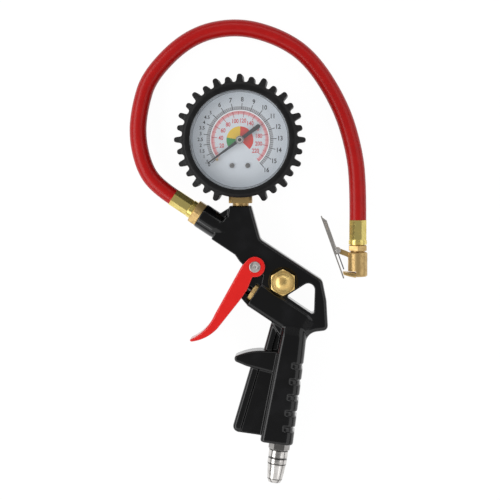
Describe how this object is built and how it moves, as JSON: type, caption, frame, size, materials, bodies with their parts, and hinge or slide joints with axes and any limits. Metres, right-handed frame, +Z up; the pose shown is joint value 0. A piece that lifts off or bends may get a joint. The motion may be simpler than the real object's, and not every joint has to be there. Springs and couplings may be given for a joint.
{
  "type": "tire inflator gun",
  "caption": "Pistol-grip tire inflator with a booted pressure gauge, trigger valve, plug and a short hose with clip-on chuck.",
  "frame": {"origin": "middle of the gun's footprint, hose and chuck left out, on the table that it lies on", "axes": "+X towards the chuck's side, +Y from the grip to the gauge, +Z up from the table through the dial"},
  "size_m": [0.1481, 0.2887, 0.032],
  "materials": {
    "black_enamel": "gloss black enamel on die-cast aluminium",
    "red_enamel": "gloss red enamel",
    "steel": "plain steel",
    "nickel": "bright nickel plate",
    "spring_steel": "spring steel",
    "brass": "machined brass",
    "plated_brass": "bright plated brass",
    "black_rubber": "matt black rubber",
    "red_rubber": "smooth red rubber",
    "lens_clear": "clear",
    "dial_white": "matt white print",
    "black_plastic": "satin black",
    "pointer_black": "matt black"
  },
  "bodies": {
    "gun": {"pistol_casting": "black_enamel", "pivot_barrel": "steel", "pivot_screw": "steel", "valve_bushing": "brass", "stem_seal_ring": "black_rubber", "valve_spring": "spring_steel", "cap_nut": "brass", "cap_nut_washer": "black_rubber", "air_plug": "nickel", "gauge_boot": "black_rubber", "gauge_case": "steel", "dial_spacer": "black_plastic", "gauge_lens": "lens_clear", "dial_plate": "dial_white", "dial_screw_left": "steel", "dial_screw_right": "steel", "pointer_stop_pin": "steel", "gauge_socket": "brass", "bourdon_tube": "brass", "movement_frame": "brass", "hose_nut": "brass", "gun_ferrule": "plated_brass", "hose": "red_rubber", "chuck_ferrule": "plated_brass", "chuck_adapter": "brass", "chuck_body": "brass", "chuck_gasket": "black_rubber", "chuck_depressor": "brass", "clip_pivot_pin": "steel"},
    "trigger": {"trigger": "red_enamel"},
    "valve": {"valve_stem": "steel", "valve_poppet": "brass"},
    "pointer": {"pointer_spindle": "brass", "pointer": "pointer_black", "pointer_cap": "steel"},
    "clip": {"clip_lever": "nickel", "clip_claw": "brass", "clip_spring": "spring_steel"}
  },
  "joints": [
    {"name": "trigger_pivot", "type": "hinge", "parent": "gun", "child": "trigger", "pos_m": [0.00441, 0.00886, 0.013], "axis": [0, 0, 1], "range_deg": [0, 12], "stiffness_Nm_per_rad": 0.5, "springref_deg": -5.73},
    {"name": "valve_slide", "type": "slide", "parent": "gun", "child": "valve", "axis": [0.8339, -0.5519, 0], "range_m": [0, 0.0031], "deforming": ["valve_spring"]},
    {"name": "pointer_turn", "type": "hinge", "parent": "gun", "child": "pointer", "pos_m": [-0.0047, 0.0869, 0.0244], "axis": [0, 0, -1], "range_deg": [0, 266], "stiffness_Nm_per_rad": 0.0002, "springref_deg": -17.19},
    {"name": "clip_pivot", "type": "hinge", "parent": "gun", "child": "clip", "pos_m": [0.0556, 0.0182, 0.0064], "axis": [0, 0, -1], "range_deg": [0, 18], "stiffness_Nm_per_rad": 0.05, "springref_deg": -11.46}
  ],
  "couplings": [
    {"joint": "valve_slide", "follows": "trigger_pivot", "m_per_rad": 0.0143}
  ]
}
